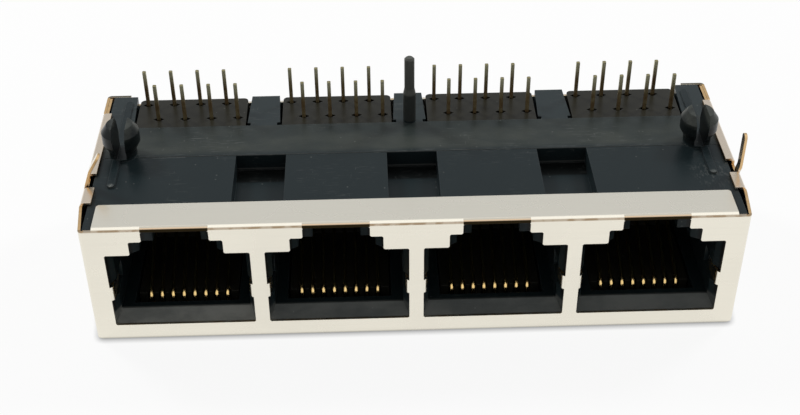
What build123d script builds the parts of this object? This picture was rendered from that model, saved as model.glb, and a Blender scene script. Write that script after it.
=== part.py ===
from build123d import *
import os

# Four-port RJ45 board jack, lying on its closed roof with the board side up.
# Built with the front plate's outer face at y = 0 and the roof on z = 0, in millimetres,
# then moved so that the middle of its footprint is the origin.

# The row of ports, laid out on the hole grid of the board
PORTS = 4
PORT_PITCH = 13.97
GRID = PORT_PITCH / 11
OUTER_PORT_X = PORT_PITCH * (PORTS - 1) / 2
CONTACTS = 8
SPRING_PITCH = 0.8 * GRID
TAIL_PITCH = GRID
ROW_PITCH = 2 * GRID

# Clearances
FIT = 0.03
SLIDE = 0.05

# Folded sheet shared by both shields, its board-side face on the board's surface
SHEET = 0.25
SHEET_MID = SHEET / 2
BEND_OUTER = 0.4
BEND_MID = BEND_OUTER - SHEET_MID
EASY_BEND = 1.0
SHELL_TOP = 12.86
SHELL_DEPTH = 21.72
RAW_EDGE_DROP = 0.26
RAW_EDGE_Z = SHELL_TOP - RAW_EDGE_DROP
SEAM = 0.3

# Side walls of the front shield, beyond the outer ports
WALL_MARGIN = 8.645
WALL_HALF = OUTER_PORT_X + WALL_MARGIN
FLARE = 0.4
FLARE_END = 3.6
FRONT_HALF = WALL_HALF - FLARE
EAR_GAP = 0.02
INNER_WALL_HALF = WALL_HALF - SHEET - EAR_GAP
JOG_INSET = 3.47
JOG_LENGTH = 0.35
JOG_START = SHELL_DEPTH - JOG_INSET
JOG_END = JOG_START + JOG_LENGTH
SIDE_INSET = 0.52
SIDE_REAR = SHELL_DEPTH - SIDE_INSET

# Flanges folded in from the side walls, with a slit down into the wall at each end
SLIT_DEPTH = 0.4
SLIT_Z = RAW_EDGE_Z - SLIT_DEPTH
SHORT_FLANGE_FRONT = 3.9
SHORT_FLANGE_REAR = 6.2
SHORT_FLANGE_WIDTH = 1.0
LONG_FLANGE_FRONT = 8.3
LONG_FLANGE_REAR = JOG_START - SLIDE
LONG_FLANGE_WIDTH = 0.88

# Strip folded back from the front plate
STRIP_DEPTH = 3.55
STRIP_INSET = 1.15
STRIP_HALF = FRONT_HALF - STRIP_INSET
STRIP_CORNER = 0.3

# Ground pins, with their heights above the board's surface
PIN_FRONT = 6.4
PIN_WIDTH = 0.8
PIN_HEIGHT = 3.74
PIN_TIP_Z = SHELL_TOP + PIN_HEIGHT
PIN_SPREAD = 0.15
PIN_SPREAD_HEIGHT = 0.34
BENT_PIN_KNEE = (0.62, 1.75)
BENT_PIN_TIP = (1.62, 3.42)

# Port openings in the front plate, stepped in three for the plug, its key and its latch
WEB_HALF = 0.645
OPENING_HALF = PORT_PITCH / 2 - WEB_HALF
OPENING_INSETS = (0, 2.25, 3.41)
OPENING_DROPS = (2.93, 1.48, BEND_OUTER)
OPENING_SILL_Z = 1.8
OPENING_CORNER = 0.12

# Spring fingers bent in at each side of an opening
FINGER_LOW_Z = 4.75
FINGER_HIGH_Z = 6.25
FINGER_INWARD = 0.3
FINGER_BELLY_Y = 2.2
FINGER_END_Y = 3.4
FINGER_LEAN = 0.14

# Lance and window that hold the rear shield
LANCE_INSET = 2.02
LANCE_LENGTH = 1.2
LANCE_FRONT = SHELL_DEPTH - LANCE_INSET
LANCE_REAR = LANCE_FRONT + LANCE_LENGTH
LANCE_LOW_Z = 5.0
LANCE_HIGH_Z = 7.4
LANCE_RISE = 0.2
WINDOW_MARGIN = 0.15

# Rear shield
EAR_SETBACK = 0.1
EAR_FRONT = JOG_END + EAR_SETBACK
CORNER_TAB_WIDTH = 2.3
CORNER_TAB_HEIGHT = 1.0
CORNER_TAB_HALF = WALL_HALF - CORNER_TAB_WIDTH
REAR_PLATE_Z = RAW_EDGE_Z - CORNER_TAB_HEIGHT

# Housing
HOUSING_HALF = FRONT_HALF - SHEET - SLIDE
HOUSING_FRONT = SHEET + FIT
HOUSING_BASE = SHEET + FIT
HOUSING_CHAMFER = 0.12
FACE_Z = SHELL_TOP - SHEET - FIT
FACE_STEP = 0.04
FACE_STEP_Y = 11.1
CORNER_BLOCK_REAR = SHELL_DEPTH - SHEET - FIT
RIB_INSET = 0.62
RIB_REAR = SHELL_DEPTH - RIB_INSET

# Bay behind each port, its sides set in from the opening's
BAY_DEPTH = 5.77
BAY_FRONT = SHELL_DEPTH - BAY_DEPTH
BAY_FRONT_INSET = 0.92
BAY_REAR_INSET = 0.68
BAY_HALF_FRONT = OPENING_HALF - BAY_FRONT_INSET
BAY_HALF_REAR = OPENING_HALF - BAY_REAR_INSET
BAY_RELIEF_INSET = 0.62
BAY_RELIEF_LENGTH = 0.45

# Plug cavity: its lead-in, inner outline, latch step and contact well
LEAD_IN_DEPTH = 0.92
LEAD_IN_DROP = 0.56
CAVITY_SILL_Z = 2.81
CAVITY_INSETS = (0.48, 2.94, 4.24)
CAVITY_DROPS = (3.31, 2.26, 1.11)
LATCH_WALL = 3.35
LATCH_DEPTH = BAY_FRONT - LATCH_WALL
WELL_FRONT = 1.95
WELL_INSET = 1.59
WELL_HALF = OPENING_HALF - WELL_INSET
WELL_FLOOR_Z = 0.6
FINGER_GROOVE_DEPTH = 0.12
FINGER_GROOVE_END = 3.8

# Pockets on the webs between the ports
POCKET_WIDTH = 4.63
POCKET_FRONT = 1.5
POCKET_REAR = FACE_STEP_Y - SLIDE
POCKET_DEPTH = 1.72

# Split snap pegs, measured up from the board's surface
PEG_INSET = 2.15
PEG_X = HOUSING_HALF - PEG_INSET
PEG_Y = 11.7
PEG_RADIUS = 1.28
PEG_SLOT = 0.9
PEG_SLOT_TOP = 1.25
PEG_SLOT_RISE = 0.22
PEG_NECK_HEIGHT = 0.44
PEG_FLARE_HEIGHT = 0.8
PEG_BARB_HEIGHT = 1.1
PEG_BARB_RADIUS = 1.72
PEG_TIP_HEIGHT = 0.75
PEG_TIP_RADIUS = 1.2

# Ridges that run back through the pegs
RIDGE_INSET = 1.65
RIDGE_X = HOUSING_HALF - RIDGE_INSET
RIDGE_WIDTH = 0.7
RIDGE_HEIGHT = 0.14
RIDGE_FRONT = 6.4
RIDGE_MARGIN = 1.22
RIDGE_REAR = SHELL_DEPTH - RIDGE_MARGIN

# Centre post, measured up from the board's surface
POST_SETBACK = 0.25
POST_Y = BAY_FRONT + POST_SETBACK
POST_FOOT_RADIUS = 0.6
POST_FOOT_HEIGHT = 2.84
POST_CONE_HEIGHT = 0.6
POST_RADIUS = 0.48
POST_NECK_HEIGHT = 3.3
POST_TIP_BEVEL = 0.16

# Contact carrier
CARRIER_SIDE_GAP = 0.17
CARRIER_HALF = BAY_HALF_FRONT - CARRIER_SIDE_GAP
CARRIER_FRONT = BAY_FRONT + SLIDE
CARRIER_INSET = 0.87
CARRIER_REAR = SHELL_DEPTH - CARRIER_INSET
CARRIER_CORNER = 0.45
CARRIER_TOP_Z = FACE_Z - FIT
CARRIER_BASE_Z = WELL_FLOOR_Z + FIT
NOSE_LENGTH = 3.95
NOSE_FRONT = BAY_FRONT - NOSE_LENGTH
NOSE_LIFT = 0.09
NOSE_LOW_Z = CAVITY_SILL_Z + NOSE_LIFT
NOSE_DROP = 3.41
NOSE_HIGH_Z = SHELL_TOP - NOSE_DROP
COMB_DEPTH = 1.7
COMB_LOW_Z = 3.4
COMB_ROOF = 0.45
COMB_HIGH_Z = NOSE_HIGH_Z - COMB_ROOF
COMB_SLOT = 0.52

# Tongue, the room under it and the tail channels of the carrier
TONGUE_FRONT = 3.65
TONGUE_SIDE_GAP = 0.15
TONGUE_HALF = WELL_HALF - TONGUE_SIDE_GAP
TONGUE_LOW_Z = 1.1
TONGUE_HIGH_Z = 2.44
TONGUE_SLOT_END = 4.3
TOOTH_WIDTH = 0.42
RAIL_WALL = 0.45
RAIL_HALF = CARRIER_HALF - RAIL_WALL
RAIL_REAR = CARRIER_REAR - RAIL_WALL
CHANNEL_WIDTH = 0.46
CHANNEL_DEPTH = 0.36
MOUTH_WIDTH = 1.1
MOUTH_LENGTH = 0.7
MOUTH_DEPTH = 0.5
MOUTH_FLOOR_Z = CARRIER_TOP_Z - MOUTH_DEPTH

# Contacts
STRIP_WIDTH = 0.34
STRIP_THICK = 0.25
REAR_ROW_INSET = 0.9
REAR_ROW_Y = CARRIER_REAR - REAR_ROW_INSET
FRONT_ROW_Y = REAR_ROW_Y - ROW_PITCH
TAIL_HEIGHT = 3.59
TAIL_TIP_Z = SHELL_TOP + TAIL_HEIGHT
TAIL_CHAMFER = 0.08
RUN_Z = 0.93
FOOT_BEVEL = 0.12
FAN_SETBACK = 0.95
FAN_REAR = BAY_FRONT - FAN_SETBACK
FAN_FRONT = 7.0
NOSE_BEND_Y = 4.47
NOSE_BEND = 0.85
BEVEL_SHARE = 0.414
ARM_TURN = 66
ARM_REACH = 0.6
ARM_END_Y = NOSE_FRONT + ARM_REACH


def block(x0, x1, y0, y1, z0, z1):
    size = (x1 - x0, y1 - y0, z1 - z0)
    return Pos(x0, y0, z0) * Box(*size, align=(Align.MIN, Align.MIN, Align.MIN))


def across(face, x0, x1):
    # A face drawn in depth and height, run from x0 to x1
    return extrude(Plane.YZ.offset(x0) * face, x1 - x0)


def upward(face, z0, z1):
    # A face drawn in width and depth, run from z0 to z1
    return extrude(Plane.XY.offset(z0) * face, z1 - z0)


def backward(face, y0, y1):
    # A face drawn in width and height, run from y0 back to y1
    return extrude(Plane.XZ.offset(-y1) * face, y1 - y0)


def outline(*points):
    return make_face(Polyline(*points, close=True))


def folded(*points, bends):
    # The edge of one folded sheet along the middle of its thickness
    return trace(FilletPolyline(*points, radius=bends), SHEET)


def both_sides(solid):
    return solid + mirror(solid, Plane.YZ)


def stepped_corners(sill_z, insets, drops):
    # Corners of an opening that narrows in steps towards the board
    halves = [OPENING_HALF - inset for inset in insets]
    tops = [SHELL_TOP - drop for drop in drops]
    right = [(halves[0], sill_z), (halves[0], tops[0])]
    right += [(halves[1], tops[0]), (halves[1], tops[1])]
    right += [(halves[2], tops[1]), (halves[2], tops[2])]
    left = [(-x, z) for x, z in reversed(right)]
    return right + left


def tapered(front_corners, front_y, rear_corners, rear_y):
    # A solid between two outlines with as many corners, closed by one flat face along each edge
    front = [(x, front_y, z) for x, z in front_corners]
    rear = [(x, rear_y, z) for x, z in rear_corners]
    faces = [outline(*front).face(), outline(*rear).face()]
    for i in range(len(front)):
        faces.append(outline(front[i - 1], front[i], rear[i], rear[i - 1]).face())
    return Solid(Shell(faces))


port_xs = [PORT_PITCH * (i - (PORTS - 1) / 2) for i in range(PORTS)]
web_xs = [PORT_PITCH * (i - (PORTS - 2) / 2) for i in range(PORTS - 1)]
spring_xs = [SPRING_PITCH * (i - (CONTACTS - 1) / 2) for i in range(CONTACTS)]
tail_xs = [TAIL_PITCH * (i - (CONTACTS - 1) / 2) for i in range(CONTACTS)]
tail_ys = [REAR_ROW_Y if i % 2 == 0 else FRONT_ROW_Y for i in range(CONTACTS)]


def make_housing():
    body = block(-HOUSING_HALF, HOUSING_HALF, HOUSING_FRONT, CORNER_BLOCK_REAR, HOUSING_BASE, FACE_Z)
    bay_edge = port_xs[-1] + BAY_HALF_REAR
    body -= block(-bay_edge, bay_edge, RIB_REAR, SHELL_DEPTH, 0, SHELL_TOP)
    body -= block(-HOUSING_HALF, HOUSING_HALF, 0, FACE_STEP_Y, FACE_Z - FACE_STEP, SHELL_TOP)
    fold_edges = body.edges().filter_by(Axis.X).group_by(Axis.Y)[0]
    body = chamfer(fold_edges, HOUSING_CHAMFER)

    # Plug cavity: mitred lead-in, stepped tunnel for the plug and its latch, well for the contacts
    lead_end = HOUSING_FRONT + LEAD_IN_DEPTH
    mouth = stepped_corners(OPENING_SILL_Z, OPENING_INSETS, [*OPENING_DROPS[:2], LEAD_IN_DROP])
    throat = stepped_corners(CAVITY_SILL_Z, CAVITY_INSETS, CAVITY_DROPS)
    cavity = tapered(mouth, HOUSING_FRONT, throat, lead_end)
    cavity += backward(outline(*throat), lead_end, LATCH_DEPTH)
    plug_half = OPENING_HALF - CAVITY_INSETS[0]
    plug_top = SHELL_TOP - CAVITY_DROPS[0]
    cavity += block(-plug_half, plug_half, LATCH_DEPTH, BAY_FRONT, CAVITY_SILL_Z, plug_top)
    cavity += block(-WELL_HALF, WELL_HALF, WELL_FRONT, BAY_FRONT, WELL_FLOOR_Z, CAVITY_SILL_Z)

    # Grooves that the shield's spring fingers reach back into
    groove_low = FINGER_LOW_Z - WINDOW_MARGIN
    groove_high = FINGER_HIGH_Z + WINDOW_MARGIN
    groove = block(0, OPENING_HALF + FINGER_GROOVE_DEPTH, 0, FINGER_GROOVE_END, groove_low, groove_high)
    cavity += both_sides(groove)

    # Bay open to the rear and to the board side, with a small square relief at its front corners
    relief_half = OPENING_HALF - BAY_RELIEF_INSET
    relief_rear = BAY_FRONT + BAY_RELIEF_LENGTH
    right = [(relief_half, BAY_FRONT), (relief_half, relief_rear)]
    right += [(BAY_HALF_FRONT, relief_rear), (BAY_HALF_REAR, SHELL_DEPTH)]
    left = [(-x, y) for x, y in reversed(right)]
    cavity += upward(outline(*right, *left), WELL_FLOOR_Z, SHELL_TOP)
    for x in port_xs:
        body -= Pos(x, 0, 0) * cavity

    # Pockets on the webs
    half = POCKET_WIDTH / 2
    pocket = block(-half, half, POCKET_FRONT, POCKET_REAR, FACE_Z - POCKET_DEPTH, SHELL_TOP)
    for x in web_xs:
        body -= Pos(x, 0, 0) * pocket

    # Low ridges that end round at the front and run back through the pegs
    ridge_length = RIDGE_REAR - RIDGE_FRONT
    ridge_plan = SlotOverall(ridge_length, RIDGE_WIDTH, rotation=90)
    ridge_plan = Pos(RIDGE_X, RIDGE_FRONT + ridge_length / 2) * ridge_plan
    ridge = upward(ridge_plan, FACE_Z - FACE_STEP, FACE_Z + RIDGE_HEIGHT)

    # Snap peg: a barbed round shaft with a bevelled top, split by a slot that widens upwards
    neck_z = SHELL_TOP + PEG_NECK_HEIGHT
    barb_low_z = neck_z + PEG_FLARE_HEIGHT
    barb_high_z = barb_low_z + PEG_BARB_HEIGHT
    tip_z = barb_high_z + PEG_TIP_HEIGHT
    profile = outline(
        (0, FACE_Z - FACE_STEP),
        (PEG_RADIUS, FACE_Z - FACE_STEP),
        (PEG_RADIUS, neck_z),
        (PEG_BARB_RADIUS, barb_low_z),
        (PEG_BARB_RADIUS, barb_high_z),
        (PEG_TIP_RADIUS, tip_z),
        (0, tip_z),
    )
    peg = revolve(Plane.XZ * profile, Axis.Z)
    slot_z = FACE_Z + PEG_SLOT_RISE
    foot_half = PEG_SLOT / 2
    top_half = PEG_SLOT_TOP / 2
    slot = outline((-foot_half, slot_z), (foot_half, slot_z), (top_half, tip_z), (-top_half, tip_z))
    peg -= backward(slot, -PEG_BARB_RADIUS, PEG_BARB_RADIUS)
    body += both_sides(ridge + Pos(PEG_X, PEG_Y, 0) * peg)

    # Centre post: a cone from a thicker foot, with a bevelled tip
    foot_z = SHELL_TOP + POST_FOOT_HEIGHT
    cone_z = foot_z + POST_CONE_HEIGHT
    tip_z = cone_z + POST_NECK_HEIGHT
    post_side = outline(
        (0, FACE_Z),
        (POST_FOOT_RADIUS, FACE_Z),
        (POST_FOOT_RADIUS, foot_z),
        (POST_RADIUS, cone_z),
        (POST_RADIUS, tip_z - POST_TIP_BEVEL),
        (POST_RADIUS - POST_TIP_BEVEL, tip_z),
        (0, tip_z),
    )
    post = revolve(Plane.XZ * post_side, Axis.Z)
    return body + Pos(0, POST_Y, 0) * post


def make_carrier():
    # Rear block that fills the bay, with its nose closing the back of the plug cavity
    plan = Rectangle(2 * CARRIER_HALF, CARRIER_REAR - CARRIER_FRONT)
    plan = Pos(0, (CARRIER_FRONT + CARRIER_REAR) / 2) * plan
    rear_corners = plan.vertices().group_by(Axis.Y)[-1]
    plan = fillet(rear_corners, CARRIER_CORNER)
    body = upward(plan, CARRIER_BASE_Z, CARRIER_TOP_Z)
    body += block(-CARRIER_HALF, CARRIER_HALF, NOSE_FRONT, CARRIER_FRONT, NOSE_LOW_Z, NOSE_HIGH_Z)

    # Thin tongue that the contacts wrap round, slotted at its front edge to keep them apart
    body += block(-TONGUE_HALF, TONGUE_HALF, TONGUE_FRONT, CARRIER_FRONT, TONGUE_LOW_Z, TONGUE_HIGH_Z)
    body += block(-TONGUE_HALF, TONGUE_HALF, NOSE_FRONT, CARRIER_FRONT, TONGUE_LOW_Z, NOSE_LOW_Z)
    slot_half = (SPRING_PITCH - TOOTH_WIDTH) / 2
    for x in spring_xs:
        slot = block(x - slot_half, x + slot_half, TONGUE_FRONT, TONGUE_SLOT_END, TONGUE_LOW_Z, TONGUE_HIGH_Z)
        body -= slot

    # Room under the block for the contact runs, and a comb for the free ends of the arms
    body -= block(-RAIL_HALF, RAIL_HALF, 0, RAIL_REAR, 0, TONGUE_LOW_Z)
    slot = block(-COMB_SLOT / 2, COMB_SLOT / 2, 0, NOSE_FRONT + COMB_DEPTH, COMB_LOW_Z, COMB_HIGH_Z)
    for x in spring_xs:
        body -= Pos(x, 0, 0) * slot

    # Tail channels with diamond mouths on the board side
    half_width = MOUTH_WIDTH / 2
    half_length = MOUTH_LENGTH / 2
    diamond = outline((half_width, 0), (0, half_length), (-half_width, 0), (0, -half_length))
    mouth = upward(diamond, MOUTH_FLOOR_Z, CARRIER_TOP_Z)
    channel = upward(Rectangle(CHANNEL_WIDTH, CHANNEL_DEPTH), 0, CARRIER_TOP_Z)
    for x, y in zip(tail_xs, tail_ys):
        body -= Pos(x, y, 0) * (mouth + channel)
    return body


def make_contact(tail_x, tail_y, spring_x):
    half = STRIP_WIDTH / 2

    # Tail from its chamfered tip down to the bend under the carrier
    thin = STRIP_THICK / 2
    tail_side = outline(
        (FAN_REAR, RUN_Z + thin),
        (FAN_REAR, RUN_Z - thin),
        (tail_y + thin - FOOT_BEVEL, RUN_Z - thin),
        (tail_y + thin, RUN_Z - thin + FOOT_BEVEL),
        (tail_y + thin, TAIL_TIP_Z),
        (tail_y - thin, TAIL_TIP_Z),
        (tail_y - thin, RUN_Z + thin),
    )
    tail = across(tail_side, tail_x - half, tail_x + half)
    tail = chamfer(tail.faces().sort_by(Axis.Z)[-1].edges(), TAIL_CHAMFER)

    # Run that fans in from the tail pitch to the plug pitch
    fan = outline(
        (tail_x - half, FAN_REAR),
        (tail_x + half, FAN_REAR),
        (spring_x + half, FAN_FRONT),
        (spring_x - half, FAN_FRONT),
    )
    run = upward(fan, RUN_Z - thin, RUN_Z + thin)

    # Bend round the tongue, bevelled below and round where it shows, and the sloping spring arm
    bend_z = RUN_Z + NOSE_BEND
    inner = NOSE_BEND - thin
    outer = NOSE_BEND + thin
    under = outline(
        (FAN_FRONT, RUN_Z - thin),
        (NOSE_BEND_Y - BEVEL_SHARE * outer, RUN_Z - thin),
        (NOSE_BEND_Y - outer, bend_z - BEVEL_SHARE * outer),
        (NOSE_BEND_Y - outer, bend_z),
        (NOSE_BEND_Y - inner, bend_z),
        (NOSE_BEND_Y - inner, bend_z - BEVEL_SHARE * inner),
        (NOSE_BEND_Y - BEVEL_SHARE * inner, RUN_Z + thin),
        (FAN_FRONT, RUN_Z + thin),
    )
    over = CenterArc((NOSE_BEND_Y, bend_z), NOSE_BEND, 180, -ARM_TURN)
    start = over @ 1
    arm_length = (ARM_END_Y - start.X) / (over % 1).X
    arm = Line(start, start + (over % 1) * arm_length)
    spring = across(under + trace([over, arm], STRIP_THICK), spring_x - half, spring_x + half)
    return tail + run + spring


def ground_pin(*path):
    # A flat pin with a rounded tip, standing up from the side wall
    pin = backward(folded(*path, bends=EASY_BEND), PIN_FRONT, PIN_FRONT + PIN_WIDTH)
    tip_edges = pin.edges().filter_by(lambda edge: edge.length < SHEET + FIT).sort_by(Axis.Z)[-2:]
    return fillet(tip_edges, PIN_WIDTH / 2 - FIT)


def make_front_shield():
    # Front plate with the roof and the strip folded back from it
    flat_half = FRONT_HALF - BEND_OUTER
    plate_path = [
        (SIDE_REAR, SHEET_MID),
        (SHEET_MID, SHEET_MID),
        (SHEET_MID, SHELL_TOP - SHEET_MID),
        (STRIP_DEPTH, SHELL_TOP - SHEET_MID),
    ]
    body = across(folded(*plate_path, bends=BEND_MID), -flat_half, flat_half)
    strip_end = block(STRIP_HALF, FRONT_HALF, 0, SHELL_DEPTH, RAW_EDGE_Z, SHELL_TOP)
    body -= both_sides(strip_end)
    strip_corners = body.edges().filter_by(Axis.Z)
    strip_corners = strip_corners.filter_by_position(Axis.Y, STRIP_DEPTH - FIT, STRIP_DEPTH + FIT)
    body = fillet(strip_corners, STRIP_CORNER)

    # Edges of the roof under the side walls
    wing = outline(
        (flat_half, BEND_OUTER),
        (FRONT_HALF, BEND_OUTER),
        (WALL_HALF, FLARE_END),
        (WALL_HALF, SIDE_REAR),
        (flat_half, SIDE_REAR),
    )
    body += both_sides(upward(wing, 0, SHEET))

    # Stepped openings, their corners eased
    opening = outline(*stepped_corners(OPENING_SILL_Z, OPENING_INSETS, OPENING_DROPS))
    opening = chamfer(opening.vertices(), OPENING_CORNER)
    window = backward(opening, -SHEET, BEND_OUTER)
    for x in port_xs:
        body -= Pos(x, 0, 0) * window

    # Spring fingers
    finger_x = OPENING_HALF - FINGER_INWARD + SHEET_MID
    finger_path = [
        (OPENING_HALF + BEND_OUTER, SHEET_MID),
        (finger_x, SHEET_MID),
        (finger_x, FINGER_BELLY_Y),
        (finger_x + FINGER_LEAN, FINGER_END_Y),
    ]
    finger = upward(folded(*finger_path, bends=[BEND_MID, EASY_BEND]), FINGER_LOW_Z, FINGER_HIGH_Z)
    for x in port_xs:
        body += Pos(x, 0, 0) * both_sides(finger)

    # Side wall: plan of the fold, cut to its side outline
    wall_path = [
        (flat_half, SHEET_MID),
        (FRONT_HALF - SHEET_MID, SHEET_MID),
        (WALL_HALF - SHEET_MID, FLARE_END),
        (WALL_HALF - SHEET_MID, JOG_START),
        (INNER_WALL_HALF - SHEET_MID, JOG_END),
        (INNER_WALL_HALF - SHEET_MID, SIDE_REAR),
    ]
    fold = upward(folded(*wall_path, bends=[BEND_MID, EASY_BEND, BEND_MID, BEND_MID]), SEAM, PIN_TIP_Z)
    flange_z = SHELL_TOP - BEND_OUTER
    side = outline(
        (-SHEET, SEAM),
        (SIDE_REAR, SEAM),
        (SIDE_REAR, RAW_EDGE_Z),
        (LONG_FLANGE_REAR, RAW_EDGE_Z),
        (LONG_FLANGE_REAR, flange_z),
        (LONG_FLANGE_FRONT, flange_z),
        (LONG_FLANGE_FRONT, SLIT_Z),
        (SHORT_FLANGE_REAR, SLIT_Z),
        (SHORT_FLANGE_REAR, flange_z),
        (SHORT_FLANGE_FRONT, flange_z),
        (SHORT_FLANGE_FRONT, RAW_EDGE_Z),
        (-SHEET, RAW_EDGE_Z),
    )
    wall = fold & across(side, 0, WALL_HALF)

    # Flanges folded in over the housing
    wall_mid = WALL_HALF - SHEET_MID
    flange_start = [(wall_mid, SLIT_Z), (wall_mid, SHELL_TOP - SHEET_MID)]
    short_end = (WALL_HALF - SHORT_FLANGE_WIDTH, SHELL_TOP - SHEET_MID)
    long_end = (WALL_HALF - LONG_FLANGE_WIDTH, SHELL_TOP - SHEET_MID)
    short_fold = folded(*flange_start, short_end, bends=BEND_MID)
    long_fold = folded(*flange_start, long_end, bends=BEND_MID)
    wall += backward(short_fold, SHORT_FLANGE_FRONT, SHORT_FLANGE_REAR)
    wall += backward(long_fold, LONG_FLANGE_FRONT, LONG_FLANGE_REAR)

    # Lance that the rear shield snaps over
    inner_mid = INNER_WALL_HALF - SHEET_MID
    lance_hole_front = LANCE_FRONT - WINDOW_MARGIN
    wall -= block(inner_mid - SHEET, WALL_HALF, lance_hole_front, LANCE_REAR, LANCE_LOW_Z, LANCE_HIGH_Z)
    lance_line = Line((inner_mid, LANCE_REAR + SHEET), (inner_mid + LANCE_RISE, LANCE_FRONT))
    lance = upward(trace(lance_line, SHEET), LANCE_LOW_Z, LANCE_HIGH_Z)
    wall += lance
    body += both_sides(wall)

    # Ground pins as they were found: the right one a little spread, the left one bent over
    spread_mid = wall_mid + PIN_SPREAD
    right_pin = ground_pin(
        (wall_mid, SLIT_Z),
        (wall_mid, RAW_EDGE_Z),
        (spread_mid, SHELL_TOP + PIN_SPREAD_HEIGHT),
        (spread_mid, PIN_TIP_Z),
    )
    left_pin = ground_pin(
        (-wall_mid, SLIT_Z),
        (-wall_mid, RAW_EDGE_Z),
        (-wall_mid + BENT_PIN_KNEE[0], RAW_EDGE_Z + BENT_PIN_KNEE[1]),
        (-wall_mid + BENT_PIN_TIP[0], RAW_EDGE_Z + BENT_PIN_TIP[1]),
    )
    return body + right_pin + left_pin


def make_rear_shield():
    # Rear plate with an ear folded forward at each side
    ear_mid = WALL_HALF - SHEET_MID
    plate_y = SHELL_DEPTH - SHEET_MID
    path = [(-ear_mid, EAR_FRONT), (-ear_mid, plate_y), (ear_mid, plate_y), (ear_mid, EAR_FRONT)]
    body = upward(folded(*path, bends=BEND_MID), SEAM, RAW_EDGE_Z)
    body -= block(-CORNER_TAB_HALF, CORNER_TAB_HALF, EAR_FRONT, SHELL_DEPTH, REAR_PLATE_Z, SHELL_TOP)
    window = block(
        INNER_WALL_HALF,
        WALL_HALF + SHEET,
        LANCE_FRONT - WINDOW_MARGIN,
        LANCE_REAR + WINDOW_MARGIN,
        LANCE_LOW_Z - WINDOW_MARGIN,
        LANCE_HIGH_Z + WINDOW_MARGIN,
    )
    return body - both_sides(window)


def save(shape, name):
    centred = Pos(0, -SHELL_DEPTH / 2, 0) * shape
    export_step(centred, "parts/" + name + ".step")


os.makedirs("parts", exist_ok=True)
save(make_housing(), "housing")
save(make_front_shield(), "front_shield")
save(make_rear_shield(), "rear_shield")
carrier = make_carrier()
contacts = [make_contact(*places) for places in zip(tail_xs, tail_ys, spring_xs)]
for number, port_x in enumerate(port_xs, start=1):
    save(Pos(port_x, 0, 0) * carrier, f"contact_carrier_{number}")
    for index, contact in enumerate(contacts, start=1):
        save(Pos(port_x, 0, 0) * contact, f"contact_{number}_{index}")
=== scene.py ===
import math

import bpy
from mathutils import Matrix, Vector

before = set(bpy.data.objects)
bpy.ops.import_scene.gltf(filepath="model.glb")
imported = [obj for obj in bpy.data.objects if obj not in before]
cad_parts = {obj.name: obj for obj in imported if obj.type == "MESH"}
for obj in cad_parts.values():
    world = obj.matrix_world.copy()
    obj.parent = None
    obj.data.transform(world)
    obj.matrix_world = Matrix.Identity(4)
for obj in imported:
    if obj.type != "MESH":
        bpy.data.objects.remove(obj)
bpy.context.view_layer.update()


# Housing.
# One slate-black moulding that carries everything else, with the plug cavities, the pockets, two split
# snap pegs and the post. The face behind its step is greyer with handling and dust, and the step and the
# face round the right peg are scraped. Light and shade are painted on too: a highlight on the round ends
# of the ridges, light on the sills, the pegs' tops and the step's riser, a highlight at the foot of the
# pockets' rear wall, and shade on the pegs, the lip round the cavities and the rear of the pockets' floors.

def add(tree, kind, inputs=(), **settings):
    node = tree.nodes.new(kind)
    for name, value in settings.items():
        setattr(node, name, value)
    for name, value in dict(inputs).items():
        if isinstance(value, bpy.types.NodeSocket):
            tree.links.new(value, node.inputs[name])
        else:
            node.inputs[name].default_value = value
    return node


def calculate(tree, operation, first, second=0.0, third=0.0):
    node = add(tree, "ShaderNodeMath", {0: first, 1: second, 2: third}, operation=operation)
    return node.outputs[0]


def product(tree, *factors):
    result = factors[0]
    for factor in factors[1:]:
        result = calculate(tree, "MULTIPLY", result, factor)
    return result


def either(tree, *masks):
    result = masks[0]
    for mask in masks[1:]:
        result = calculate(tree, "MAXIMUM", result, mask)
    return result


def ramp(tree, value, low, high, start=0.0, end=1.0):
    # Where value goes from low to high, the result goes from start to end
    inputs = {"Value": value, "From Min": low, "From Max": high, "To Min": start, "To Max": end}
    return add(tree, "ShaderNodeMapRange", inputs, interpolation_type="SMOOTHSTEP").outputs["Result"]


def between(tree, value, rise, fall):
    # 0 below rise, 1 from the end of rise to the start of fall, and 0 again above fall
    return product(tree, ramp(tree, value, rise[0], rise[1]), ramp(tree, value, fall[1], fall[0]))


def beyond(tree, value, level):
    return calculate(tree, "GREATER_THAN", value, level)


def short_of(tree, value, level):
    return calculate(tree, "LESS_THAN", value, level)


def tint(tree, mask, under, over):
    return add(tree, "ShaderNodeMix", {0: mask, 6: under, 7: over}, data_type="RGBA").outputs[2]


def paint(tree, colour, layers):
    # Each layer is a mask and the colour laid on where the mask is 1
    for mask, over in layers:
        colour = tint(tree, mask, colour, over)
    return colour


def split(tree, vector):
    parts = add(tree, "ShaderNodeSeparateXYZ", {0: vector}).outputs
    return parts["X"], parts["Y"], parts["Z"]


def millimetres(tree):
    place = add(tree, "ShaderNodeTexCoord").outputs["Object"]
    return add(tree, "ShaderNodeVectorMath", {0: place, "Scale": 1000.0}, operation="SCALE").outputs[0]


def stretched(tree, place, stretch):
    return add(tree, "ShaderNodeVectorMath", {0: place, 1: stretch}, operation="MULTIPLY").outputs[0]


def noise(tree, place, per_mm, detail=3.0, roughness=0.55):
    inputs = {"Vector": place, "Scale": per_mm, "Detail": detail, "Roughness": roughness}
    return add(tree, "ShaderNodeTexNoise", inputs).outputs["Fac"]


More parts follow.
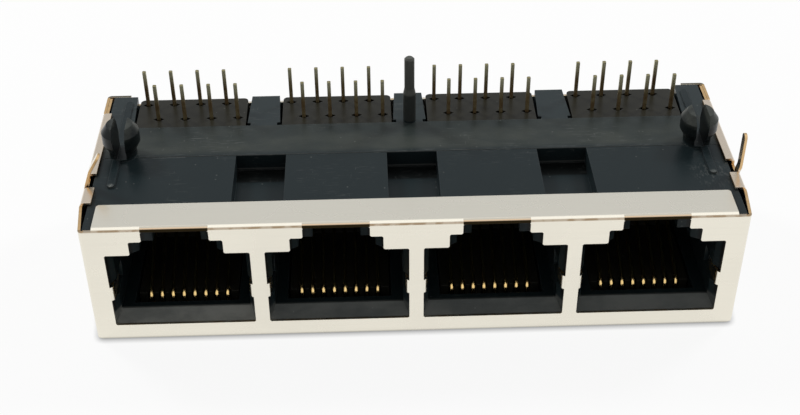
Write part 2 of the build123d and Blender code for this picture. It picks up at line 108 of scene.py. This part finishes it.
def effect(name, amounts):
    # An empty node group that turns a place and the amounts named here into a mask
    tree = bpy.data.node_groups.new(name, "ShaderNodeTree")
    tree.interface.new_socket("Place", in_out="INPUT", socket_type="NodeSocketVector")
    for label, usual in amounts.items():
        socket = tree.interface.new_socket(label, in_out="INPUT", socket_type="NodeSocketFloat")
        socket.default_value = usual
    tree.interface.new_socket("Mask", in_out="OUTPUT", socket_type="NodeSocketFloat")
    return tree, tree.nodes.new("NodeGroupInput").outputs, tree.nodes.new("NodeGroupOutput").inputs["Mask"]


def place_effect(tree, name, place, amounts):
    return add(tree, "ShaderNodeGroup", {"Place": place, **amounts},
               node_tree=bpy.data.node_groups[name]).outputs["Mask"]


# Rubbed edges: 1 where the surface turns a sharp corner within the radius, broken up by noise
tree, given, mask = effect("rubbed edges", {"Radius": 0.0001, "Break": 0.5})
rounded = add(tree, "ShaderNodeBevel", {"Radius": given["Radius"]}, samples=6).outputs[0]
flat = add(tree, "ShaderNodeNewGeometry").outputs["Normal"]
turn = add(tree, "ShaderNodeVectorMath", {0: rounded, 1: flat}, operation="DOT_PRODUCT").outputs["Value"]
corner = ramp(tree, turn, 0.995, 0.86)
patches = ramp(tree, noise(tree, given["Place"], 0.9, 4.0), 0.35, 0.62)
kept = calculate(tree, "MULTIPLY_ADD", calculate(tree, "SUBTRACT", patches, 1.0), given["Break"], 1.0)
tree.links.new(product(tree, corner, kept), mask)

# Scuffs: short fine scratches, most of them along the row, gathered in patches
tree, given, mask = effect("scuffs", {"Amount": 0.5})
along = noise(tree, stretched(tree, given["Place"], (0.45, 6.0, 3.0)), 1.6, 2.0)
aslant = noise(tree, stretched(tree, given["Place"], (4.0, 0.8, 3.0)), 1.3, 2.0)
lines = either(tree, ramp(tree, along, 0.60, 0.70), ramp(tree, aslant, 0.66, 0.74))
gathered = ramp(tree, noise(tree, given["Place"], 0.22, 3.0), 0.46, 0.64)
tree.links.new(product(tree, lines, gathered, given["Amount"]), mask)

# Dust: a few pale specks, one in each cell that is dealt one
tree, given, mask = effect("dust specks", {"Per mm": 1.2, "Share": 0.4})
cells = add(tree, "ShaderNodeTexVoronoi", {"Vector": given["Place"], "Scale": given["Per mm"]}).outputs
dealt = short_of(tree, split(tree, cells["Color"])[0], given["Share"])
tree.links.new(product(tree, ramp(tree, cells["Distance"], 0.14, 0.06), dealt), mask)


def surface(name):
    material = bpy.data.materials.new(name)
    material.use_nodes = True
    tree = material.node_tree
    shader = tree.nodes["Principled BSDF"]
    return material, tree, shader


def eased_corners(tree, radius_mm, samples=6):
    return add(tree, "ShaderNodeBevel", {"Radius": radius_mm / 1000}, samples=samples).outputs[0]


def relief(tree, shader, height, depth_mm, corner_mm):
    # Corners eased by corner_mm, with height standing depth_mm proud of them
    inputs = {"Distance": depth_mm / 1000, "Height": height, "Normal": eased_corners(tree, corner_mm)}
    tree.links.new(add(tree, "ShaderNodeBump", {"Strength": 1.0, **inputs}).outputs[0], shader.inputs["Normal"])


def dress(node_name, material):
    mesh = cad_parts[node_name].data
    mesh.materials.clear()
    mesh.materials.append(material)


slate_moulding, tree, shader = surface("slate moulding")
place = millimetres(tree)
x, y, z = split(tree, place)
from_middle = calculate(tree, "ABSOLUTE", x)
mottle = noise(tree, place, 0.35, 4.0)
dusting = ramp(tree, noise(tree, stretched(tree, place, (0.5, 1.0, 1.0)), 0.45, 4.0), 0.32, 0.68, 0.50, 1.0)

# The board-side face lies at 12.58 mm, and the step across it, the pockets' rear wall, at step_y
step_y = 0.24
on_face = between(tree, z, (12.4, 12.5), (12.62, 12.70))
behind_step = product(tree, on_face, ramp(tree, y, 0.10, 1.1), ramp(tree, y, 5.4, 1.5, 0.55, 1.0))
# Painted light on the step's riser, lifting the shade it takes
step_riser_light = product(tree, on_face, between(tree, y, (step_y - 0.05, step_y - 0.03), (step_y + 0.03, step_y + 0.05)))
on_ribs = product(tree, on_face, ramp(tree, y, 4.95, 5.2))
on_ridges = between(tree, z, (12.55, 12.62), (12.76, 12.80))

# Inside the pockets a painted shadow darkens the rear of the floor, under a painted highlight line at
# the foot of the wall
in_pocket = ramp(tree, y, -1.95, -1.60)
pocket_floor_shadow = product(tree, in_pocket, between(tree, z, (10.80, 10.84), (10.90, 10.94)))
pocket_wall = between(tree, y, (step_y - 0.14, step_y - 0.10), (step_y, step_y + 0.04))
# Painted highlight along the foot of the pockets' rear wall
pocket_highlight_line = product(tree, in_pocket, pocket_wall, between(tree, z, (10.94, 10.98), (11.10, 11.16)))

# At the ports the sills are painted pale, partly with dust and partly with painted light, most of all in
# the left one, and the lip round each cavity is painted near black as shade
sill_dust_and_light = product(tree, ramp(tree, z, 3.3, 3.0), ramp(tree, y, -9.4, -9.6), dusting,
                     ramp(tree, x, -12.0, -15.0, 0.45, 1.0))
# Painted shade on the lip round each cavity, in the recess behind the front plate
front_lip_shade = product(tree, ramp(tree, y, -10.2, -10.45), between(tree, z, (3.3, 3.6), (12.40, 12.45)))

# Above the face stand the pegs, in front, and the post, behind them
above_face = ramp(tree, z, 12.75, 12.9)
on_post = product(tree, above_face, ramp(tree, y, 4.0, 4.5))
on_pegs = product(tree, above_face, ramp(tree, y, 4.5, 4.0))
# Painted light on the pegs' tops, broken up by the mottle
peg_top_light = product(tree, on_pegs, ramp(tree, z, 14.7, 15.5), ramp(tree, mottle, 0.40, 0.62))
post_grey = tint(tree, ramp(tree, z, 15.5, 15.9), (0.032, 0.035, 0.033, 1.0), (0.080, 0.083, 0.074, 1.0))

# A painted highlight on the ridges' round ends, and wear: scrapes round the right peg and along the step
ridge_end_x, ridge_end_y = 27.25, -4.3
along = calculate(tree, "SUBTRACT", from_middle, ridge_end_x)
aside = calculate(tree, "SUBTRACT", y, ridge_end_y)
squares = calculate(tree, "ADD", product(tree, along, along), product(tree, aside, aside))
from_end = calculate(tree, "SQRT", squares)
scraped = ramp(tree, noise(tree, stretched(tree, place, (2.5, 0.9, 1.0)), 2.2, 3.0), 0.52, 0.64)
ridge_end_highlight = product(tree, on_ridges, ramp(tree, from_end, 0.42, 0.12), ramp(tree, scraped, 0.0, 1.0, 0.35, 0.8))
round_peg = product(tree, on_face, beyond(tree, x, 20.0), ramp(tree, from_end, 2.8, 0.8), scraped)
streaks = ramp(tree, noise(tree, stretched(tree, place, (0.30, 4.0, 1.0)), 1.8, 3.0), 0.58, 0.66)
step_scrapes = product(tree, on_face, between(tree, y, (-0.15, 0.10), (0.40, 0.65)), streaks)
scuffed = place_effect(tree, "scuffs", place, {"Amount": 0.8})
face_scuffs = product(tree, scuffed, ramp(tree, behind_step, 0.3, 0.7, 0.45, 0.95))
rubbed = place_effect(tree, "rubbed edges", place, {"Radius": 0.00012, "Break": 0.8})
specks = place_effect(tree, "dust specks", place, {"Per mm": 1.5, "Share": 0.2})

scuff_grey = (0.085, 0.092, 0.090, 1.0)
slate = tint(tree, product(tree, mottle, 0.5), (0.0090, 0.0155, 0.0175, 1.0), (0.0140, 0.0205, 0.0225, 1.0))
colour = paint(tree, slate, [
    (product(tree, behind_step, dusting), (0.040, 0.046, 0.041, 1.0)),
    (on_ribs, (0.021, 0.029, 0.031, 1.0)),
    (sill_dust_and_light, (0.185, 0.19, 0.175, 1.0)),
    (front_lip_shade, (0.0035, 0.0045, 0.0045, 1.0)),
    (pocket_floor_shadow, (0.0022, 0.0032, 0.0032, 1.0)),
    (pocket_highlight_line, (0.065, 0.070, 0.067, 1.0)),
    (step_riser_light, (0.055, 0.062, 0.060, 1.0)),
    # Painted shade: the pegs are painted darker than the face round them
    (on_pegs, (0.0055, 0.0080, 0.0085, 1.0)),
    (on_post, post_grey),
    (peg_top_light, (0.045, 0.050, 0.044, 1.0)),
    (face_scuffs, scuff_grey),
    (ridge_end_highlight, (0.17, 0.18, 0.17, 1.0)),
    (product(tree, round_peg, 0.4), scuff_grey),
    (product(tree, step_scrapes, 0.6), scuff_grey),
    (product(tree, rubbed, 0.30), (0.070, 0.080, 0.084, 1.0)),
    (product(tree, specks, 0.35), (0.20, 0.21, 0.20, 1.0)),
])
tree.links.new(colour, shader.inputs["Base Color"])
rough = calculate(tree, "MULTIPLY_ADD", mottle, 0.12, 0.25)
rough = calculate(tree, "MULTIPLY_ADD", behind_step, 0.06, rough)
tree.links.new(calculate(tree, "MULTIPLY_ADD", scuffed, 0.2, rough), shader.inputs["Roughness"])
shader.inputs["Specular IOR Level"].default_value = 0.17
relief(tree, shader, noise(tree, place, 9.0, 3.0, 0.6), 0.0012, 0.07)
dress("housing", slate_moulding)


# Contact carriers.
# Four black inserts pushed in from the rear, one behind each port. They are a slightly browner resin
# than the housing.

brown_black, tree, shader = surface("brown black insert")
place = millimetres(tree)
mottle = noise(tree, place, 0.5, 4.0)
scuffed = place_effect(tree, "scuffs", place, {"Amount": 0.5})
rubbed = place_effect(tree, "rubbed edges", place, {"Radius": 0.00010, "Break": 0.6})
specks = place_effect(tree, "dust specks", place, {"Per mm": 1.5, "Share": 0.2})
resin = tint(tree, mottle, (0.0120, 0.0118, 0.0085, 1.0), (0.0225, 0.0218, 0.0165, 1.0))
colour = paint(tree, resin, [
    (product(tree, scuffed, 0.4), (0.075, 0.075, 0.065, 1.0)),
    (product(tree, rubbed, 0.3), (0.060, 0.060, 0.052, 1.0)),
    (product(tree, specks, 0.35), (0.20, 0.20, 0.18, 1.0)),
])
tree.links.new(colour, shader.inputs["Base Color"])
tree.links.new(calculate(tree, "MULTIPLY_ADD", mottle, 0.14, 0.24), shader.inputs["Roughness"])
shader.inputs["Specular IOR Level"].default_value = 0.17
relief(tree, shader, noise(tree, place, 11.0, 3.0, 0.6), 0.0010, 0.08)
ports = range(1, 5)
for port in ports:
    dress(f"contact_carrier_{port}", brown_black)


# Contacts.
# Thirty-two strips stamped from springy bronze, plated, and bent round the carriers' tongues. The arms
# that touch a plug are bright gold, and the tails that go through the board are a dulled olive brown.

port_pitch, arm_pitch = 13.97, 1.016


def off_centre(tree, value, pitch):
    # How far value is from the middle of its own step of the pitch
    return calculate(tree, "SUBTRACT", calculate(tree, "WRAP", value, pitch, 0.0), pitch / 2)


contact_metal, tree, shader = surface("plated contact")
place = millimetres(tree)
x, y, z = split(tree, place)
tarnish = noise(tree, place, 1.4, 4.0)
tail = ramp(tree, z, 9.0, 12.0)
olive = tint(tree, ramp(tree, tarnish, 0.36, 0.64), (0.27, 0.22, 0.12, 1.0), (0.19, 0.125, 0.060, 1.0))
tail_colour_and_light = paint(tree, olive, [
    # Painted light: the tails are painted paler towards their upper ends
    (ramp(tree, z, 14.2, 16.3), (0.58, 0.56, 0.38, 1.0)),
    (ramp(tree, z, 16.30, 16.42), (0.24, 0.21, 0.11, 1.0)),
])
tree.links.new(tint(tree, tail, (0.88, 0.63, 0.27, 1.0), tail_colour_and_light), shader.inputs["Base Color"])
shader.inputs["Metallic"].default_value = 1.0
rough = calculate(tree, "MULTIPLY_ADD", tail, 0.24, 0.19)
tree.links.new(calculate(tree, "MULTIPLY_ADD", tarnish, 0.06, rough), shader.inputs["Roughness"])
# Each arm is crowned across its width, so it glints along its middle, and only the arms have a crown
crown, lean = 2.4, 0.30
from_arm = off_centre(tree, off_centre(tree, x, port_pitch), arm_pitch)
fallen = calculate(tree, "MULTIPLY_ADD", product(tree, from_arm, from_arm), crown, product(tree, z, lean))
arm_height = product(tree, fallen, calculate(tree, "SUBTRACT", tail, 1.0))
relief(tree, shader, arm_height, 1.0, 0.06)
for port in ports:
    for number in range(1, 9):
        dress(f"contact_{port}_{number}", contact_metal)


# Front and rear shields.
# Quarter-millimetre brass sheet, nickel plated before it was cut and folded, so the cut edges show
# bare brass. Rolling left faint lines along the strip, and the plating is worn thin along the top fold.

nickel_sheet, tree, shader = surface("nickel plated sheet")
place = millimetres(tree)
x, y, z = split(tree, place)
from_middle = calculate(tree, "ABSOLUTE", x)
outward = add(tree, "ShaderNodeNewGeometry").outputs["True Normal"]
facing = split(tree, add(tree, "ShaderNodeVectorMath", {0: outward}, operation="ABSOLUTE").outputs[0])
facing_sideways, facing_along, facing_level = facing

# The sheet is level in the strip and flanges, runs along the depth in the side walls, ears, fingers
# and pins, and stands across the row in the front and rear plates
fold_front_y, floor_clear_z = -10.44, 0.45
level_sheet = product(tree, beyond(tree, z, 12.585), short_of(tree, z, 12.9))
between_plates = product(tree, beyond(tree, y, -10.6), short_of(tree, y, 10.55))
upright = either(tree, beyond(tree, from_middle, 28.75), beyond(tree, z, 12.9), between_plates)
side_sheet = product(tree, upright, calculate(tree, "SUBTRACT", 1.0, level_sheet))
plate_sheet = calculate(tree, "SUBTRACT", calculate(tree, "SUBTRACT", 1.0, level_sheet), side_sheet)
strip_ends = product(tree, level_sheet, beyond(tree, facing_sideways, 0.5))
behind_bend = either(tree, beyond(tree, y, fold_front_y), strip_ends)

# A face is a cut edge where it doesn't look the way its own sheet does
side_cut = product(tree, side_sheet, short_of(tree, facing_sideways, 0.6), behind_bend)
level_cut = product(tree, level_sheet, short_of(tree, facing_level, 0.4), short_of(tree, facing_along, 0.6),
                    behind_bend)
wall_top = product(tree, beyond(tree, facing_level, 0.7), beyond(tree, z, 12.1), short_of(tree, z, 12.63),
                   beyond(tree, from_middle, 28.7))
outer_cut = product(tree, either(tree, side_cut, level_cut, wall_top), beyond(tree, z, floor_clear_z))
plate_cut = product(tree, plate_sheet, short_of(tree, facing_along, 0.5), beyond(tree, z, floor_clear_z),
                    short_of(tree, z, 12.5))
patchy = ramp(tree, noise(tree, place, 0.8, 4.0), 0.38, 0.60)
brass_shown = either(tree, product(tree, outer_cut, 0.9), product(tree, plate_cut, patchy, 0.6))
brass = tint(tree, noise(tree, place, 2.0, 3.0), (0.84, 0.56, 0.25, 1.0), (0.50, 0.31, 0.13, 1.0))

# The flanges are dulled, the tops of the rear corner tabs dark, and the top fold worn in patches
on_flanges = product(tree, level_sheet, beyond(tree, from_middle, 28.5), beyond(tree, y, -8.0))
tab_tops = product(tree, beyond(tree, y, 10.55), beyond(tree, z, 12.4), short_of(tree, z, 12.7),
                   beyond(tree, from_middle, 27.2), beyond(tree, facing_level, 0.6))
on_fold = short_of(tree, y, fold_front_y)
worn_fold = product(tree, on_fold, between(tree, z, (12.50, 12.58), (12.70, 12.76)),
                    ramp(tree, patchy, 0.0, 1.0, 0.7, 1.0))

# Over each latch notch the sheet is really cut up into the fold, which the shield's shape lacks: there the
# fold is painted a duller grey, with a thin line of brass for the cut edge and painted shade below it
# where the notch would open
notch_half, notch_foot_z, notch_top_z = 2.93, 12.44, 12.855
from_port = calculate(tree, "ABSOLUTE", off_centre(tree, x, port_pitch))
over_notch = product(tree, on_fold, beyond(tree, z, notch_foot_z), short_of(tree, from_port, notch_half))

cloud = noise(tree, place, 0.16, 4.0)
rolled = noise(tree, stretched(tree, place, (0.06, 3.0, 3.0)), 2.2, 3.0)
nickel = (0.865, 0.825, 0.715, 1.0)
colour = paint(tree, nickel, [
    (ramp(tree, cloud, 0.4, 0.7, 0.0, 0.35), (0.835, 0.795, 0.69, 1.0)),
    (ramp(tree, rolled, 0.45, 0.7, 0.0, 0.3), (0.815, 0.775, 0.67, 1.0)),
    (product(tree, on_flanges, 0.9), (0.74, 0.63, 0.505, 1.0)),
    (brass_shown, brass),
    (tab_tops, (0.13, 0.115, 0.075, 1.0)),
    (worn_fold, (0.36, 0.265, 0.17, 1.0)),
    (product(tree, over_notch, short_of(tree, z, notch_top_z)), (0.53, 0.50, 0.43, 1.0)),
    (product(tree, over_notch, ramp(tree, z, 12.82, 12.78)), (0.66, 0.50, 0.34, 1.0)),
    # Painted shade where the notch would open into the fold
    (product(tree, over_notch, ramp(tree, z, 12.75, 12.69)), (0.020, 0.014, 0.006, 1.0)),
])
tree.links.new(colour, shader.inputs["Base Color"])
shader.inputs["Metallic"].default_value = 1.0
rough = calculate(tree, "MULTIPLY_ADD", cloud, 0.10, 0.22)
tree.links.new(calculate(tree, "MULTIPLY_ADD", outer_cut, 0.12, rough), shader.inputs["Roughness"])
tree.links.new(eased_corners(tree, 0.05, samples=8), shader.inputs["Normal"])
dress("front_shield", nickel_sheet)
dress("rear_shield", nickel_sheet)


# Bench, light and camera.
# A white bench in a white room, a little darker behind the jack than in front and brighter overhead,
# with a soft lamp behind it on each side. A painted contact shadow dims the bench's glow to a thin dark
# line where the jack lies on it.

reach, bench_drop = 0.6, 0.00002
corners = [(-reach, -reach, 0), (reach, -reach, 0), (reach, reach, 0), (-reach, reach, 0)]
bench_mesh = bpy.data.meshes.new("bench")
bench_mesh.from_pydata(corners, [], [(0, 1, 2, 3)])
bench = bpy.data.objects.new("bench", bench_mesh)
bench.location.z = -bench_drop
bpy.context.scene.collection.objects.link(bench)


def seen_directly(tree):
    # 1 for what the camera sees straight, in a reflection or through glass
    rays = add(tree, "ShaderNodeLightPath").outputs
    return either(tree, rays["Is Camera Ray"], rays["Is Glossy Ray"], rays["Is Transmission Ray"])


white_bench, tree, shader = surface("white bench")
shader.inputs["Base Color"].default_value = (0.86, 0.86, 0.86, 1.0)
shader.inputs["Roughness"].default_value = 0.6
# Painted contact shadow: the glow is dimmed where the bench lies close under the jack
contact_shade = add(tree, "ShaderNodeAmbientOcclusion", {"Distance": 0.0006}, samples=16).outputs["AO"]
shaded_glow = calculate(tree, "MULTIPLY_ADD", contact_shade, 0.72, 0.27)
glow = add(tree, "ShaderNodeEmission", {"Color": (1.0, 1.0, 1.0, 1.0), "Strength": shaded_glow}).outputs[0]
glow_share = product(tree, seen_directly(tree), 0.92)
mixed = add(tree, "ShaderNodeMixShader", {0: glow_share, 1: shader.outputs[0], 2: glow}).outputs[0]
tree.links.new(mixed, tree.nodes["Material Output"].inputs["Surface"])
bench_mesh.materials.append(white_bench)

room = bpy.data.worlds.new("white room")
room.use_nodes = True
tree = room.node_tree
towards_back, upwards = split(tree, add(tree, "ShaderNodeTexCoord").outputs["Generated"])[1:]
backness = ramp(tree, towards_back, -0.30, 0.45)
reflected = tint(tree, backness, (1.0, 1.0, 1.0, 1.0), (0.655, 0.668, 0.688, 1.0))
reflected = tint(tree, ramp(tree, upwards, 0.72, 0.85), reflected, (1.16, 1.16, 1.16, 1.0))
light_given = tint(tree, backness, (0.38, 0.38, 0.38, 1.0), (0.52, 0.52, 0.52, 1.0))
straight = add(tree, "ShaderNodeLightPath").outputs["Is Camera Ray"]
walls = paint(tree, light_given, [
    (seen_directly(tree), reflected),
    (straight, (0.985, 0.985, 0.985, 1.0)),
])
tree.links.new(walls, tree.nodes["Background"].inputs["Color"])
bpy.context.scene.world = room


def soft_lamp(name, place, watts):
    data = bpy.data.lights.new(name, "AREA")
    data.shape = "DISK"
    data.size = 0.12
    data.energy = watts
    lamp = bpy.data.objects.new(name, data)
    lamp.location = place
    lamp.visible_glossy = False
    jack_middle = Vector((0, 0, 0.006))
    lamp.rotation_euler = (Vector(place) - jack_middle).to_track_quat("Z", "Y").to_euler()
    bpy.context.scene.collection.objects.link(lamp)


soft_lamp("lamp behind left", (-0.30, 0.26, 0.34), 1.35)
soft_lamp("lamp behind right", (0.32, 0.24, 0.34), 1.15)

azimuth, elevation, roll = math.radians(-1.628), math.radians(37.499), math.radians(-0.421)
distance = 0.126186
target = Vector((-0.001137, -0.000441, 0.0065))
level_reach = math.cos(elevation)
back = Vector((math.sin(azimuth) * level_reach, -math.cos(azimuth) * level_reach, math.sin(elevation)))
level_right = (-back).cross(Vector((0, 0, 1))).normalized()
level_up = level_right.cross(-back)
right = math.cos(roll) * level_right + math.sin(roll) * level_up
up = -math.sin(roll) * level_right + math.cos(roll) * level_up
turned = Matrix((right, up, back)).transposed().to_4x4()
camera_data = bpy.data.cameras.new("camera")
camera_data.sensor_width = 36.0
camera_data.lens = 59.516
camera_data.clip_start = 0.01
camera = bpy.data.objects.new("camera", camera_data)
camera.matrix_world = Matrix.Translation(target + distance * back) @ turned
bpy.context.scene.collection.objects.link(camera)
bpy.context.scene.camera = camera
bpy.context.scene.view_settings.view_transform = "Standard"
